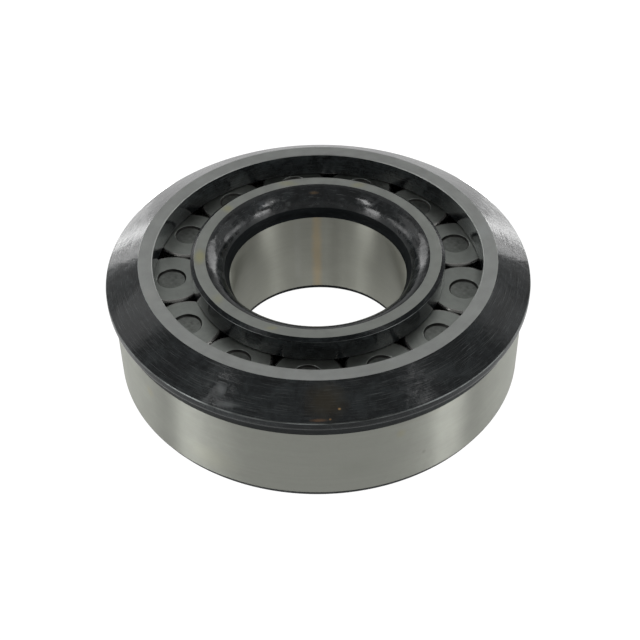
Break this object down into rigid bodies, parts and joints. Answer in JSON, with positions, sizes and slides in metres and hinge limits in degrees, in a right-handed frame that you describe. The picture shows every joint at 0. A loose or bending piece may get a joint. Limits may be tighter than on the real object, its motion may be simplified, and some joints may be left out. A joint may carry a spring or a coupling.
{
  "type": "cylindrical roller bearing",
  "caption": "Full-complement single-row cylindrical roller bearing with a conical black rim on the outer ring and a rounded mouth to its bore.",
  "frame": {"origin": "on the bearing axis, in the plane of the bottom faces that it rests on", "axes": "+Z is the bearing axis and points to the end with the conical rim; -Y is the side that faces the viewer"},
  "size_m": [0.0904, 0.0904, 0.0275],
  "materials": {
    "outer_ring_steel": "ground steel outside and on the end faces, black oxide on the cone, rim and flange bore",
    "inner_ring_steel": "ground steel bore and end faces, black oxide on the mouth and flanges",
    "roller_steel": "satin ground steel",
    "spring_steel": "dark phosphated spring steel"
  },
  "bodies": {
    "outer_ring": {"outer_ring": "outer_ring_steel", "retaining_ring": "spring_steel"},
    "inner_ring": {"inner_ring": "inner_ring_steel"},
    "roller_set": {"roller_01": "roller_steel"},
    "roller_02": {"roller_02": "roller_steel"},
    "roller_03": {"roller_03": "roller_steel"},
    "roller_04": {"roller_04": "roller_steel"},
    "roller_05": {"roller_05": "roller_steel"},
    "roller_06": {"roller_06": "roller_steel"},
    "roller_07": {"roller_07": "roller_steel"},
    "roller_08": {"roller_08": "roller_steel"},
    "roller_09": {"roller_09": "roller_steel"},
    "roller_10": {"roller_10": "roller_steel"},
    "roller_11": {"roller_11": "roller_steel"},
    "roller_12": {"roller_12": "roller_steel"},
    "roller_13": {"roller_13": "roller_steel"}
  },
  "joints": [
    {"name": "inner_ring_turn", "type": "hinge", "parent": "outer_ring", "child": "inner_ring", "pos_m": [0, 0, 0.01375], "axis": [0, 0, 1], "continuous": true},
    {"name": "roller_set_orbit", "type": "hinge", "parent": "outer_ring", "child": "roller_set", "pos_m": [0, 0, 0.01375], "axis": [0, 0, 1], "continuous": true},
    {"name": "roller_02_spin", "type": "hinge", "parent": "roller_set", "child": "roller_02", "pos_m": [0.01242, -0.02885, 0.0135], "axis": [0, 0, 1], "continuous": true},
    {"name": "roller_03_spin", "type": "hinge", "parent": "roller_set", "child": "roller_03", "pos_m": [0.0244, -0.01977, 0.0135], "axis": [0, 0, 1], "continuous": true},
    {"name": "roller_04_spin", "type": "hinge", "parent": "roller_set", "child": "roller_04", "pos_m": [0.0308, -0.00617, 0.0135], "axis": [0, 0, 1], "continuous": true},
    {"name": "roller_05_spin", "type": "hinge", "parent": "roller_set", "child": "roller_05", "pos_m": [0.03014, 0.00885, 0.0135], "axis": [0, 0, 1], "continuous": true},
    {"name": "roller_06_spin", "type": "hinge", "parent": "roller_set", "child": "roller_06", "pos_m": [0.02257, 0.02184, 0.0135], "axis": [0, 0, 1], "continuous": true},
    {"name": "roller_07_spin", "type": "hinge", "parent": "roller_set", "child": "roller_07", "pos_m": [0.00983, 0.02983, 0.0135], "axis": [0, 0, 1], "continuous": true},
    {"name": "roller_08_spin", "type": "hinge", "parent": "roller_set", "child": "roller_08", "pos_m": [-0.00516, 0.03098, 0.0135], "axis": [0, 0, 1], "continuous": true},
    {"name": "roller_09_spin", "type": "hinge", "parent": "roller_set", "child": "roller_09", "pos_m": [-0.01896, 0.02504, 0.0135], "axis": [0, 0, 1], "continuous": true},
    {"name": "roller_10_spin", "type": "hinge", "parent": "roller_set", "child": "roller_10", "pos_m": [-0.02843, 0.01336, 0.0135], "axis": [0, 0, 1], "continuous": true},
    {"name": "roller_11_spin", "type": "hinge", "parent": "roller_set", "child": "roller_11", "pos_m": [-0.03138, -0.00138, 0.0135], "axis": [0, 0, 1], "continuous": true},
    {"name": "roller_12_spin", "type": "hinge", "parent": "roller_set", "child": "roller_12", "pos_m": [-0.02714, -0.01581, 0.0135], "axis": [0, 0, 1], "continuous": true},
    {"name": "roller_13_spin", "type": "hinge", "parent": "roller_set", "child": "roller_13", "pos_m": [-0.01669, -0.02661, 0.0135], "axis": [0, 0, 1], "continuous": true}
  ],
  "couplings": [
    {"joint": "roller_set_orbit", "follows": "inner_ring_turn", "ratio": 0.38061},
    {"joint": "roller_02_spin", "follows": "inner_ring_turn", "ratio": -1.9746},
    {"joint": "roller_03_spin", "follows": "inner_ring_turn", "ratio": -1.9746},
    {"joint": "roller_04_spin", "follows": "inner_ring_turn", "ratio": -1.9746},
    {"joint": "roller_05_spin", "follows": "inner_ring_turn", "ratio": -1.9746},
    {"joint": "roller_06_spin", "follows": "inner_ring_turn", "ratio": -1.9746},
    {"joint": "roller_07_spin", "follows": "inner_ring_turn", "ratio": -1.9746},
    {"joint": "roller_08_spin", "follows": "inner_ring_turn", "ratio": -1.9746},
    {"joint": "roller_09_spin", "follows": "inner_ring_turn", "ratio": -1.9746},
    {"joint": "roller_10_spin", "follows": "inner_ring_turn", "ratio": -1.9746},
    {"joint": "roller_11_spin", "follows": "inner_ring_turn", "ratio": -1.9746},
    {"joint": "roller_12_spin", "follows": "inner_ring_turn", "ratio": -1.9746},
    {"joint": "roller_13_spin", "follows": "inner_ring_turn", "ratio": -1.9746}
  ]
}
